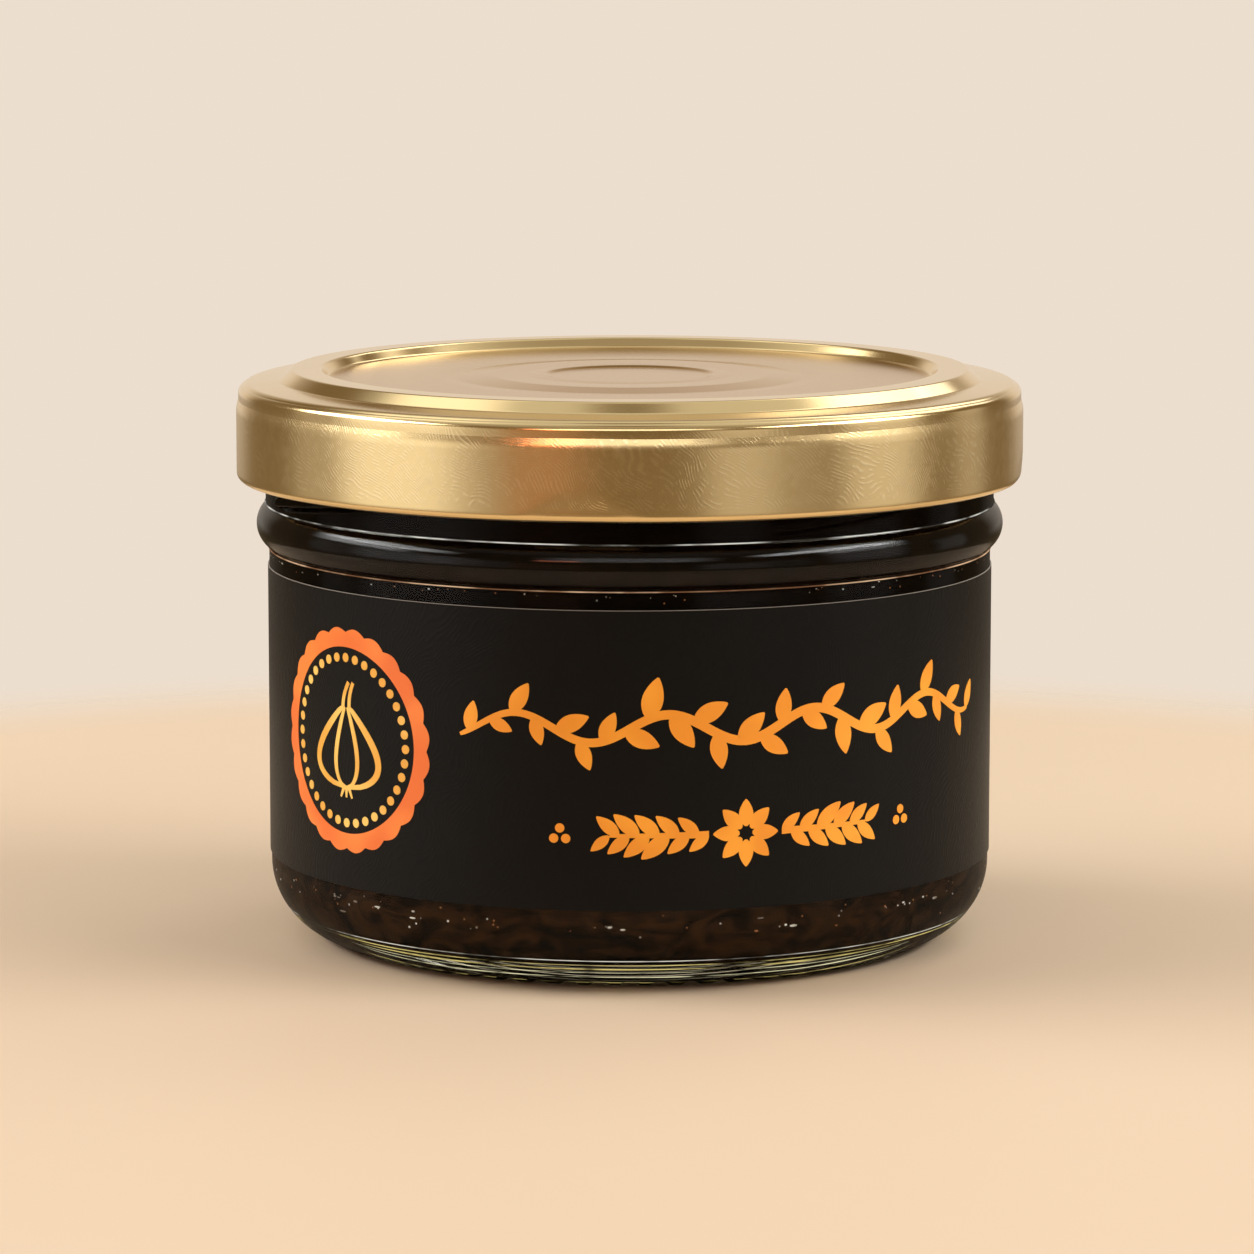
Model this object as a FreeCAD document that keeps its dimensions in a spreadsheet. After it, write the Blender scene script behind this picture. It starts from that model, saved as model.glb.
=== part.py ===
import FreeCAD, Part
import Sketcher
import os

# Preserve jar, filled and shut: clear glass jar, lug lid, wrap label and jam.
# Millimetres, +Z up. The origin is on the jar's axis, in the plane that it stands on.
# The front, where the label is read, faces -Y.
#
# Every piece is a section turned about the jar's axis. The lid's lugs and the glass
# threads under them are one piece each, repeated round the axis.

UP = FreeCAD.Vector(0, 0, 1)
ORIGIN = FreeCAD.Vector(0, 0, 0)
FRONT = -90                     # angle of -Y round the axis, in degrees
SAME_PLACE = 1e-4               # how near an edge lies to the corner that names it

SIZES = [
    # glass body
    ("body_radius", 33.45, "outer radius of the glass body"),
    ("glass_wall", 2.4, "wall of the body, measured to the straight bore"),
    ("heel_round", 7.0, "outer round from body to bearing ring"),
    ("bearing_width", 2.15, "width of the flat ring that the jar stands on"),
    ("push_up_slope", 2.1, "width of the slope from bearing ring to raised middle"),
    ("push_up", 1.4, "height of the raised middle above the bearing ring"),
    ("floor_thickness", 4.6, "height of the inside floor above the bearing ring"),
    ("floor_round", 4.6, "round between bore and inside floor"),
    # glass neck
    ("rim_height", 51.5, "height of the glass rim, without the lid"),
    ("rim_round", 1.0, "round of the rim's outer and inner edge"),
    ("neck_step", 0.3, "how far the neck stands out from the body"),
    ("bead_reach", 1.15, "how far the bead stands out from the body"),
    ("bead_below_lid", 4.15, "from the lid's lower edge down to the middle of the bead"),
    ("bead_round", 2.4, "radius of the bead's rounded section"),
    ("bead_foot_round", 0.35, "hollow round at the bead's two feet"),
    # glass threads: short raised leads that the lugs run under
    ("lug_count", 4, "lugs on the lid, and threads on the neck"),
    ("thread_reach", 1.0, "how far a thread stands out from the neck"),
    ("thread_root", 1.7, "width of a thread where it is rooted"),
    ("thread_crest", 0.8, "width of a thread at its crest"),
    ("thread_sink", 0.5, "how deep a thread is rooted in the neck"),
    ("thread_rise", 4.2, "climb of a thread from end to end"),
    ("thread_span", 75.0, "degrees round the neck that a thread takes"),
    # lid
    ("lid_height", 10.1, "height of the lid from curl to crest"),
    ("sheet", 0.2, "thickness of the lid's sheet steel"),
    ("seat_gap", 0.05, "clearance between glass rim and lid"),
    ("thread_gap", 0.35, "clearance between threads and curl"),
    ("curl_radius", 0.65, "radius of the rolled lower edge"),
    ("shoulder_inset", 0.25, "how far the shoulder lies inside the skirt"),
    ("shoulder_drop", 0.3, "fall of the shelf from ring to shoulder"),
    ("shoulder_round", 0.9, "outer round between shelf and shoulder"),
    ("shoulder_straight", 0.05, "straight stretch of the shoulder under its round"),
    ("break_height", 0.4, "height of the sloping break between shoulder and skirt"),
    ("shelf_width", 3.55, "from the shoulder in to the foot of the raised ring"),
    ("ring_slope", 1.2, "width of the ring's outer slope"),
    ("ring_width", 2.7, "width of the ring's flat crest"),
    ("ring_rise", 0.97, "height of the crest above the shelf"),
    ("panel_slope", 0.6, "width of the slope from crest down to panel"),
    ("panel_drop", 0.87, "depth of the panel below the crest"),
    ("dome_radius", 12.8, "radius of the low plateau in the panel"),
    ("dome_slope", 3.3, "width of the slope from plateau to panel"),
    ("dome_rise", 0.25, "height of the plateau above the panel"),
    ("button_radius", 7.2, "radius of the flat of the sunk button"),
    ("button_slope", 0.7, "width of the slope round the button"),
    ("button_drop", 0.2, "depth of the button below the plateau"),
    ("lug_gap", 0.45, "clearance between lug and neck"),
    ("lug_rise", 1.1, "height of a lug above the lid's lower edge"),
    ("lug_span", 17.0, "degrees round the lid that a lug takes"),
    ("lug_turn", -7.0, "degrees from the front to the middle of a lug"),
    ("lug_along", 60.2, "degrees from a thread's low end to the lug under it"),
    ("lug_clearance", 0.05, "clearance between a lug and the thread over it"),
    # label
    ("label_lift", 0.95, "from the top of the heel's round up to the label"),
    ("label_margin", 1.77, "bare glass between the label and the bead"),
    ("label_paper", 0.12, "thickness of the label"),
    ("label_gap", 0.02, "clearance between glass and label"),
    ("label_seam", 1.6, "strip of bare glass between the label's ends, at the back"),
    # jam
    ("jam_gap", 0.05, "clearance between jam and glass"),
    ("headspace", 3.0, "height from the jam to the underside of the lid's panel"),
    ("jam_lip", 0.6, "round of the jam's upper edge"),
]

doc = FreeCAD.newDocument("PreserveJar")
sheet = doc.addObject("Spreadsheet::Sheet", "Sizes")
for row, (alias, number, note) in enumerate(SIZES, 1):
    sheet.set("A%d" % row, alias)
    sheet.set("B%d" % row, str(number))
    sheet.set("C%d" % row, note)
    sheet.setAlias("B%d" % row, alias)
doc.recompute()


# Names for what several pieces share, as expressions on the sheet.

BORE = "(Sizes.body_radius - Sizes.glass_wall)"
BEARING_OUTER = "(Sizes.body_radius - Sizes.heel_round)"
BEARING_INNER = "(%s - Sizes.bearing_width)" % BEARING_OUTER
NECK = "(Sizes.body_radius + Sizes.neck_step)"

CURL_INNER = "(%s + Sizes.thread_reach + Sizes.thread_gap)" % NECK
CURL_CENTRE = "(%s + Sizes.curl_radius)" % CURL_INNER
SKIRT = "(%s + Sizes.curl_radius)" % CURL_CENTRE
SHOULDER = "(%s - Sizes.shoulder_inset)" % SKIRT
RING_FOOT = "(%s - Sizes.shelf_width)" % SHOULDER
RING_OUTER = "(%s - Sizes.ring_slope)" % RING_FOOT
RING_INNER = "(%s - Sizes.ring_width)" % RING_OUTER
PANEL_EDGE = "(%s - Sizes.panel_slope)" % RING_INNER
DOME_FOOT = "(Sizes.dome_radius + Sizes.dome_slope)"
BUTTON_EDGE = "(Sizes.button_radius + Sizes.button_slope)"

SHELF = "(Sizes.rim_height + Sizes.seat_gap + Sizes.sheet)"
SHOULDER_TOP = "(%s - Sizes.shoulder_drop)" % SHELF
BREAK_TOP = "(%s - Sizes.shoulder_round - Sizes.shoulder_straight)" % SHOULDER_TOP
BREAK_BOTTOM = "(%s - Sizes.break_height)" % BREAK_TOP
CREST = "(%s + Sizes.ring_rise)" % SHELF
PANEL = "(%s - Sizes.panel_drop)" % CREST
PLATEAU = "(%s + Sizes.dome_rise)" % PANEL
BUTTON = "(%s - Sizes.button_drop)" % PLATEAU
LID_BOTTOM = "(%s - Sizes.lid_height)" % CREST
CURL_HEIGHT = "(%s + Sizes.curl_radius)" % LID_BOTTOM
CURL_END = "(%s + sqrt(Sizes.curl_radius ^ 2 - (Sizes.curl_radius - Sizes.sheet) ^ 2))" % (
    CURL_HEIGHT)
LUG_INNER = "(%s + Sizes.lug_gap)" % NECK
LUG_TOP = "(%s + Sizes.lug_rise)" % LID_BOTTOM

BEAD = "(Sizes.body_radius + Sizes.bead_reach)"
BEAD_HEIGHT = "(%s - Sizes.bead_below_lid)" % LID_BOTTOM
BEAD_CENTRE = "(%s - Sizes.bead_round)" % BEAD
BEAD_BOTTOM = "(%s - sqrt(Sizes.bead_round ^ 2 - (Sizes.body_radius - %s) ^ 2))" % (
    BEAD_HEIGHT, BEAD_CENTRE)
BEAD_TOP = "(%s + sqrt(Sizes.bead_round ^ 2 - (%s - %s) ^ 2))" % (BEAD_HEIGHT, NECK, BEAD_CENTRE)

# A thread climbs from its low end, and clears the lug under it where it comes lowest over it.
LUG_END_ALONG = "(Sizes.lug_along - Sizes.lug_span / 2)"
THREAD_OVER_LUG = "(%s + Sizes.lug_clearance + Sizes.thread_root / 2)" % LUG_TOP
THREAD_START = "(%s - Sizes.thread_rise * %s / Sizes.thread_span)" % (
    THREAD_OVER_LUG, LUG_END_ALONG)

LABEL_INNER = "(Sizes.body_radius + Sizes.label_gap)"
LABEL_OUTER = "(%s + Sizes.label_paper)" % LABEL_INNER
LABEL_BOTTOM = "(Sizes.heel_round + Sizes.label_lift)"
LABEL_TOP = "(%s - Sizes.label_margin)" % BEAD_BOTTOM

JAM_RADIUS = "(%s - Sizes.jam_gap)" % BORE
JAM_FLOOR = "(Sizes.floor_thickness + Sizes.jam_gap)"
JAM_LEVEL = "(%s - Sizes.sheet - Sizes.headspace)" % PANEL


def size(expression):
    """The number that an expression on the sheet stands for."""
    number = sheet.evalExpression(str(expression))
    return float(getattr(number, "Value", number))


def new_body(label):
    """An empty body whose label names its file."""
    body = doc.addObject("PartDesign::Body", label)
    body.Label = label
    return body


def origin_feature(body, role):
    """One of the body's own origin planes or axes."""
    for feature in body.Origin.OriginFeatures:
        if feature.Role == role:
            return feature
    raise ValueError("no origin feature " + role)


def place_corner(sketch, geometry, end, radius, height):
    """Tie one end of a line to its radius from the axis and its height."""
    if str(radius) == "0":
        sketch.addConstraint(Sketcher.Constraint("PointOnObject", geometry, end, -2))
    else:
        across = Sketcher.Constraint("DistanceX", -1, 1, geometry, end, size(radius))
        sketch.setExpression("Constraints[%d]" % sketch.addConstraint(across), radius)
    up = Sketcher.Constraint("DistanceY", -1, 1, geometry, end, size(height))
    sketch.setExpression("Constraints[%d]" % sketch.addConstraint(up), height)


def section(body, name, corners, arcs=()):
    """Closed half section in the XZ plane, through corners given as (radius, height).

    arcs maps the number of a corner to (radius, height, round): the stretch that
    starts there bends through that point with that radius.
    """
    sketch = body.newObject("Sketcher::SketchObject", name)
    sketch.AttachmentSupport = [(origin_feature(body, "XZ_Plane"), "")]
    sketch.MapMode = "FlatFace"
    arcs = dict(arcs)
    points = [FreeCAD.Vector(size(radius), size(height), 0) for radius, height in corners]
    count = len(points)
    ends = []
    for i, point in enumerate(points):
        following = points[(i + 1) % count]
        if i in arcs:
            middle = FreeCAD.Vector(size(arcs[i][0]), size(arcs[i][1]), 0)
            sketch.addGeometry(Part.ArcOfCircle(point, middle, following), False)
            forward = sketch.getPoint(i, 1).distanceToPoint(point) < SAME_PLACE
            ends.append((1, 2) if forward else (2, 1))
        else:
            sketch.addGeometry(Part.LineSegment(point, following), False)
            ends.append((1, 2))
    for i, (radius, height) in enumerate(corners):
        before = i - 1 if i else count - 1
        joint = Sketcher.Constraint("Coincident", before, ends[before][1], i, ends[i][0])
        sketch.addConstraint(joint)
        place_corner(sketch, i, ends[i][0], radius, height)
    for i, (radius, height, bend) in arcs.items():
        number = sketch.addConstraint(Sketcher.Constraint("Radius", i, size(bend)))
        sketch.setExpression("Constraints[%d]" % number, bend)
    doc.recompute()
    return sketch


def turned(body, name, sketch, degrees="360"):
    """Turn a section about the axis, evenly to both sides of its own plane."""
    solid = body.newObject("PartDesign::Revolution", name)
    solid.Profile = sketch
    solid.ReferenceAxis = (sketch, ["V_Axis"])
    solid.Midplane = True
    solid.setExpression("Angle", degrees)
    doc.recompute()
    return solid


def ring_edges(shape, radius, height):
    """Names of the circular edges about the axis with this radius at this height."""
    names = []
    for number, edge in enumerate(shape.Edges, 1):
        curve = edge.Curve
        if not isinstance(curve, Part.Circle):
            continue
        off_radius = abs(curve.Radius - radius)
        off_height = abs(curve.Center.z - height)
        if off_radius < SAME_PLACE and off_height < SAME_PLACE:
            names.append("Edge%d" % number)
    return names


def rounded(body, name, base, corners, bend):
    """Round the edges of base that the given corners of its section made."""
    names = []
    for radius, height in corners:
        found = ring_edges(base.Shape, size(radius), size(height))
        if not found:
            raise ValueError("%s: no edge at %s, %s" % (name, radius, height))
        names += found
    fillet = body.newObject("PartDesign::Fillet", name)
    fillet.Base = (base, names)
    fillet.setExpression("Radius", bend)
    doc.recompute()
    return fillet


def repeated(body, name, feature):
    """Repeat a feature round the axis, one for each lug."""
    pattern = body.newObject("PartDesign::PolarPattern", name)
    pattern.Originals = [feature]
    pattern.Axis = (origin_feature(body, "Z_Axis"), [""])
    pattern.Angle = 360
    pattern.setExpression("Occurrences", "Sizes.lug_count")
    body.Tip = pattern
    doc.recompute()
    return pattern


def place_turned(body, from_front):
    """Place a body on the jar's axis, its own +X turned by an angle from the front."""
    turn = FreeCAD.Rotation(UP, FRONT + size(from_front))
    body.Placement = FreeCAD.Placement(ORIGIN, turn)


def glass_jar():
    """Jar with a thick floor, a bead under the neck and short threads."""
    body = new_body("glass_jar")
    corners = [
        ("0", "Sizes.push_up"),
        ("(%s - Sizes.push_up_slope)" % BEARING_INNER, "Sizes.push_up"),
        (BEARING_INNER, "0"),
        ("Sizes.body_radius", "0"),
        ("Sizes.body_radius", BEAD_BOTTOM),
        (NECK, BEAD_TOP),
        (NECK, "Sizes.rim_height"),
        (BORE, "Sizes.rim_height"),
        (BORE, "Sizes.floor_thickness"),
        ("0", "Sizes.floor_thickness"),
    ]
    bead = {4: (BEAD, BEAD_HEIGHT, "Sizes.bead_round")}
    glass = turned(body, "Glass", section(body, "GlassSection", corners, bead))
    glass = rounded(body, "Heel", glass, [corners[3]], "Sizes.heel_round")
    glass = rounded(body, "FloorRound", glass, [corners[8]], "Sizes.floor_round")
    glass = rounded(body, "BeadFeet", glass, corners[4:6], "Sizes.bead_foot_round")
    rounded(body, "Rim", glass, corners[6:8], "Sizes.rim_round")

    root = "(%s - Sizes.thread_sink)" % NECK
    crest = "(%s + Sizes.thread_reach)" % NECK
    thread_corners = [
        (root, "(%s - Sizes.thread_root / 2)" % THREAD_START),
        (crest, "(%s - Sizes.thread_crest / 2)" % THREAD_START),
        (crest, "(%s + Sizes.thread_crest / 2)" % THREAD_START),
        (root, "(%s + Sizes.thread_root / 2)" % THREAD_START),
    ]
    profile = section(body, "ThreadSection", thread_corners)
    thread = body.newObject("PartDesign::AdditiveHelix", "Thread")
    thread.Profile = profile
    thread.ReferenceAxis = (profile, ["V_Axis"])
    thread.Mode = "height-turns-angle"
    thread.setExpression("Height", "Sizes.thread_rise")
    thread.setExpression("Turns", "Sizes.thread_span / 360")
    thread.Angle = 0
    thread.LeftHanded = False
    doc.recompute()
    repeated(body, "Threads", thread)
    place_turned(body, "Sizes.lug_turn - Sizes.lug_along")
    return body


def lug_lid():
    """Pressed sheet lid: sunk panel with a button, raised ring, skirt, curl and lugs."""
    body = new_body("lid")

    def thinner(radius):
        return "(%s - Sizes.sheet)" % radius

    def below(height):
        return "(%s - Sizes.sheet)" % height

    def under_slope(radius, sign):
        return "(%s %s Sizes.sheet / 2)" % (radius, sign)

    upper = [
        ("0", BUTTON),
        ("Sizes.button_radius", BUTTON),
        (BUTTON_EDGE, PLATEAU),
        ("Sizes.dome_radius", PLATEAU),
        (DOME_FOOT, PANEL),
        (PANEL_EDGE, PANEL),
        (RING_INNER, CREST),
        (RING_OUTER, CREST),
        (RING_FOOT, SHELF),
        (SHOULDER, SHOULDER_TOP),
        (SHOULDER, BREAK_TOP),
        (SKIRT, BREAK_BOTTOM),
        (SKIRT, CURL_HEIGHT),
    ]
    lower = [
        (thinner(SKIRT), CURL_END),
        (thinner(SKIRT), BREAK_BOTTOM),
        (thinner(SHOULDER), BREAK_TOP),
        (thinner(SHOULDER), below(SHOULDER_TOP)),
        (under_slope(RING_FOOT, "-"), below(SHELF)),
        (under_slope(RING_OUTER, "-"), below(CREST)),
        (under_slope(RING_INNER, "+"), below(CREST)),
        (under_slope(PANEL_EDGE, "+"), below(PANEL)),
        (DOME_FOOT, below(PANEL)),
        ("Sizes.dome_radius", below(PLATEAU)),
        (under_slope(BUTTON_EDGE, "+"), below(PLATEAU)),
        (under_slope("Sizes.button_radius", "+"), below(BUTTON)),
        ("0", below(BUTTON)),
    ]
    curl = {len(upper) - 1: (CURL_INNER, CURL_HEIGHT, "Sizes.curl_radius")}
    lid = turned(body, "Sheet", section(body, "SheetSection", upper + lower, curl))
    lid = rounded(body, "Shoulder", lid, [upper[9]], "Sizes.shoulder_round")
    rounded(body, "ShoulderInside", lid, [lower[3]], "Sizes.shoulder_round - Sizes.sheet")

    lug_corners = [
        (LUG_INNER, CURL_HEIGHT),
        (CURL_CENTRE, CURL_HEIGHT),
        (CURL_CENTRE, LUG_TOP),
        (LUG_INNER, LUG_TOP),
    ]
    lug = turned(body, "Lug", section(body, "LugSection", lug_corners), "Sizes.lug_span")
    repeated(body, "Lugs", lug)
    place_turned(body, "Sizes.lug_turn")
    return body


def wrap_label():
    """Paper band round the body, its two ends a little apart at the back."""
    body = new_body("label")
    corners = [
        (LABEL_INNER, LABEL_BOTTOM),
        (LABEL_OUTER, LABEL_BOTTOM),
        (LABEL_OUTER, LABEL_TOP),
        (LABEL_INNER, LABEL_TOP),
    ]
    covered = "360 - Sizes.label_seam * 180 / (pi * %s)" % LABEL_OUTER
    turned(body, "Paper", section(body, "PaperSection", corners), covered)
    place_turned(body, "0")
    return body


def garlic_jam():
    """Jam that fills the bore from the floor up to its level in the neck."""
    body = new_body("jam")
    corners = [
        ("0", JAM_FLOOR),
        (JAM_RADIUS, JAM_FLOOR),
        (JAM_RADIUS, JAM_LEVEL),
        ("0", JAM_LEVEL),
    ]
    jam = turned(body, "Jam", section(body, "JamSection", corners))
    jam = rounded(body, "JamBottom", jam, [corners[1]], "Sizes.floor_round - Sizes.jam_gap")
    rounded(body, "JamLip", jam, [corners[2]], "Sizes.jam_lip")
    return body


bodies = [glass_jar(), lug_lid(), wrap_label(), garlic_jam()]
doc.recompute()

for item in doc.Objects:
    if "Invalid" in item.State or "Error" in item.State:
        raise ValueError("%s failed: %s" % (item.Name, item.State))
for body in bodies:
    if body.Shape.isNull() or not body.Shape.isValid():
        raise ValueError(body.Label + " has no valid shape")
    if len(body.Shape.Solids) != 1:
        raise ValueError("%s is %d solids" % (body.Label, len(body.Shape.Solids)))

os.makedirs("parts", exist_ok=True)
for body in bodies:
    body.Shape.exportStep(os.path.join("parts", body.Label + ".step"))
    box = body.Shape.BoundBox
    print("%-10s volume %9.1f mm3  z %.2f to %.2f  across %.2f" % (
        body.Label, body.Shape.Volume, box.ZMin, box.ZMax, box.XLength))
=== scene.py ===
import math
from types import SimpleNamespace

import bmesh
import bpy
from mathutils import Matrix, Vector


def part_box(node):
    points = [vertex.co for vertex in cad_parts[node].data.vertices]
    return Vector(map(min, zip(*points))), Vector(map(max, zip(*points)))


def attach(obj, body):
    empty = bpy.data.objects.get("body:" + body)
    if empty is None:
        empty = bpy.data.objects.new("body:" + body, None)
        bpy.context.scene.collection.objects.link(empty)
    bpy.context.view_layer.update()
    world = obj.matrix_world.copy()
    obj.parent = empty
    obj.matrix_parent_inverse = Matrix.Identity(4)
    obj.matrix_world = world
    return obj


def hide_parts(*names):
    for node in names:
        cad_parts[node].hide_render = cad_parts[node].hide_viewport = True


# A shut jar of black garlic jam: clear glass, gold lug lid, charcoal wrap label with a printed
# ornament, and the jam that shows through the glass.
# Metres, +Z up. The jar's axis is Z, and the front, where the label is read, faces -Y.
# Angles round the jar are measured from the front, and grow to the right.

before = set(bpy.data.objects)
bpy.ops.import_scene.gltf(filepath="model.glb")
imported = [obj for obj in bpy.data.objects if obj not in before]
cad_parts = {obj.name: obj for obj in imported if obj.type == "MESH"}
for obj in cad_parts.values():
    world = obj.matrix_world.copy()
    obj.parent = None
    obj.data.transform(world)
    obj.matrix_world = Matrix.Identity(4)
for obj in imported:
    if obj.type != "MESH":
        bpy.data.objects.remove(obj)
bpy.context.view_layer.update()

MM = 0.001
TURN = 2 * math.pi
TOUCH = 1e-7                    # two points closer than this are one

# ---- places from the frame ----


def reach(node):
    """How far a node's solid reaches from the jar's axis."""
    return max(math.hypot(v.co.x, v.co.y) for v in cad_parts[node].data.vertices)


label_low, label_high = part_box("label")
lid_low, lid_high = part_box("lid")
glass_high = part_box("glass_jar")[1]
jam_low, jam_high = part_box("jam")

PAPER = 0.12 * MM
LABEL_GAP = 0.02 * MM
JAM_GAP = 0.05 * MM
LABEL_OUTER = reach("label")
LABEL_INNER = LABEL_OUTER - PAPER
LABEL_BOTTOM = label_low.z
LABEL_TOP = label_high.z
LABEL_MIDDLE = (LABEL_BOTTOM + LABEL_TOP) / 2

BODY = LABEL_INNER - LABEL_GAP
BORE = reach("jam") + JAM_GAP
NECK = BODY + 0.3 * MM
RIM = glass_high.z
INSIDE_FLOOR = jam_low.z - JAM_GAP - 1.0 * MM
JAM_LEVEL = jam_high.z

SKIRT = reach("lid")
LID_BOTTOM = lid_low.z
CREST = lid_high.z

# ---- sizes of the glass ----

HEEL_ROUND = 7.0 * MM
BEARING_INNER = BODY - HEEL_ROUND - 2.15 * MM
PUSH_UP_EDGE = BEARING_INNER - 2.1 * MM
PUSH_UP = 1.4 * MM
MOULD_RING = 0.04 * MM
MOULD_PITCH = 2.1 * MM
MOULD_RINGS = 10
FLOOR_ROUND = 4.6 * MM
BEAD = BODY + 1.15 * MM
BEAD_ROUND = 2.4 * MM
BEAD_HEIGHT = LID_BOTTOM - 4.15 * MM
BEAD_FOOT = 0.35 * MM
RIM_ROUND = 1.0 * MM
GLASS_SIDES = 384
KNURLS = 64

LUGS = 4
LUG_TURN = math.radians(-7.0)
LUG_SPAN = math.radians(17.0)
THREAD_START = LUG_TURN - math.radians(60.2)
THREAD_SPAN = math.radians(75.0)
THREAD_RISE = 4.2 * MM
THREAD_REACH = 1.0 * MM
THREAD_LOW = LID_BOTTOM - 0.89 * MM

# ---- sizes of the lid ----

SHEET = 0.2 * MM
CURL = 0.65 * MM
SHOULDER = SKIRT - 0.4 * MM
SHELF = CREST - 0.97 * MM
SHOULDER_TOP = SHELF - 0.3 * MM
BREAK_TOP = SHOULDER_TOP - 0.95 * MM
BREAK_BOTTOM = BREAK_TOP - 0.3 * MM
RING_FOOT = SHOULDER - 3.55 * MM
RING_OUTER = RING_FOOT - 1.2 * MM
RING_INNER = RING_OUTER - 2.7 * MM
PANEL_EDGE = RING_INNER - 0.6 * MM
PANEL = CREST - 0.87 * MM
PLATEAU = PANEL + 0.25 * MM
PLATEAU_EDGE = 12.8 * MM
PLATEAU_FOOT = 16.1 * MM
BUTTON = PLATEAU - 0.2 * MM
BUTTON_FLAT = 7.2 * MM
BUTTON_EDGE = 7.9 * MM
LUG_INNER = NECK + 0.45 * MM
LID_SIDES = 320


# ---- nodes ----

def operator(operation, reflected=False):
    """An operator that adds the Math node of an operation. Reflected, its two terms change places."""
    def work(self, other):
        return self.tree.maths(operation, *((other, self) if reflected else (self, other)))
    return work


class Value:
    """A node's socket in ordinary sums: each operator adds the Math node that works it out."""

    def __init__(self, tree, socket):
        self.tree = tree
        self.socket = socket

    __add__ = operator("ADD")
    __radd__ = operator("ADD", reflected=True)
    __sub__ = operator("SUBTRACT")
    __rsub__ = operator("SUBTRACT", reflected=True)
    __mul__ = operator("MULTIPLY")
    __rmul__ = operator("MULTIPLY", reflected=True)
    __truediv__ = operator("DIVIDE")
    __rtruediv__ = operator("DIVIDE", reflected=True)
    __pow__ = operator("POWER")
    __gt__ = operator("GREATER_THAN")
    __lt__ = operator("LESS_THAN")

    def each(self):
        """All outputs of the node that this one comes from."""
        return [Value(self.tree, socket) for socket in self.socket.node.outputs]


class Tree:
    """A shader or geometry tree that nodes are added to."""

    def __init__(self, node_tree):
        self.node_tree = node_tree

    def node(self, kind, sockets=None, settings=None, output=0):
        """Add a node: its settings first, then the value or link of each socket. Gives one output."""
        made = self.node_tree.nodes.new(kind)
        for name, value in (settings or {}).items():
            setattr(made, name, value)
        self.fill(made, sockets or {})
        return Value(self, made.outputs[output]) if len(made.outputs) else None

    def fill(self, node, sockets):
        """Set or link the sockets of a node, each by its name or number."""
        for name, value in sockets.items():
            if isinstance(value, Value):
                self.node_tree.links.new(value.socket, node.inputs[name])
            else:
                node.inputs[name].default_value = value

    def maths(self, operation, *terms):
        return self.node("ShaderNodeMath", dict(enumerate(terms)), {"operation": operation})

    def sine(self, angle):
        return self.maths("SINE", angle)

    def cosine(self, angle):
        return self.maths("COSINE", angle)

    def larger(self, first, second):
        return self.maths("MAXIMUM", first, second)

    def smaller(self, first, second):
        return self.maths("MINIMUM", first, second)

    def smooth(self, value, zero_at, one_at):
        """0 up to one place and 1 past the other, with a smooth climb between."""
        sockets = {0: value, 1: zero_at, 2: one_at, 3: 0.0, 4: 1.0}
        return self.node("ShaderNodeMapRange", sockets, {"interpolation_type": "SMOOTHSTEP"})

    def joined(self, across, along, up):
        return self.node("ShaderNodeCombineXYZ", {0: across, 1: along, 2: up})

    def parts(self, vector):
        return self.node("ShaderNodeSeparateXYZ", {0: vector}).each()

    def length(self, first, second):
        """How long a line is that goes this far one way and this far square to it."""
        return self.maths("SQRT", first * first + second * second)

    def bearing(self, across, along):
        """The angle of a place round the jar."""
        return self.maths("ARCTAN2", across, along * -1.0)

    def blend(self, factor, first, second):
        """Mix two colours."""
        sockets = {0: factor, 6: first, 7: second}
        return self.node("ShaderNodeMix", sockets, {"data_type": "RGBA"}, 2)

    def place(self):
        """Where a point of the surface is, in the jar's own frame."""
        return self.node("ShaderNodeTexCoord", output="Object")

    def noise(self, place, size, detail=2.0, roughness=0.5, distortion=0.0):
        """Even noise from 0 to 1 whose blotches are about one size across."""
        sockets = {"Vector": place, "Scale": 1 / size, "Detail": detail,
                   "Roughness": roughness, "Distortion": distortion}
        return self.node("ShaderNodeTexNoise", sockets)

    def mixed(self, factor, first, second):
        """Mix two shaders."""
        return self.node("ShaderNodeMixShader", {0: factor, 1: first, 2: second})

    def finish(self, surface):
        """Lead a shader to the tree's output."""
        for node in self.node_tree.nodes:
            if node.type in ("OUTPUT_MATERIAL", "OUTPUT_WORLD"):
                self.node_tree.links.new(surface.socket, node.inputs["Surface"])

    def bump(self, height, distance, strength=1.0, normal=None):
        """A normal that follows a height, given as a share of distance."""
        sockets = {"Height": height, "Distance": distance, "Strength": strength}
        if normal is not None:
            sockets["Normal"] = normal
        return self.node("ShaderNodeBump", sockets)


def colour(red, green, blue):
    """A colour as it looks on a screen, 0 to 255, turned to what the shaders take."""
    linear = []
    for share in (red / 255, green / 255, blue / 255):
        linear.append(share / 12.92 if share <= 0.04045 else ((share + 0.055) / 1.055) ** 2.4)
    return (*linear, 1.0)


def new_material(name, **constants):
    """A material with its tree and its shader, whose unchanging sockets are set by name."""
    material = bpy.data.materials.new(name)
    material.use_nodes = True
    shader = material.node_tree.nodes["Principled BSDF"]
    for socket, value in constants.items():
        shader.inputs[socket.replace("_", " ")].default_value = value
    return material, Tree(material.node_tree), shader


# ---- finishes ----

GLASS_INDEX = 1.5
GLASS_TINT = (0.95, 0.955, 0.83, 1)
GLASS_THROUGH = (0.975, 0.977, 0.91, 1)
WALL_DULLED = 0.78              # share of the outer wall that lets light through unmirrored
BEAD_CLEARER = 0.2
NECK_DULLER = 0.06

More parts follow.
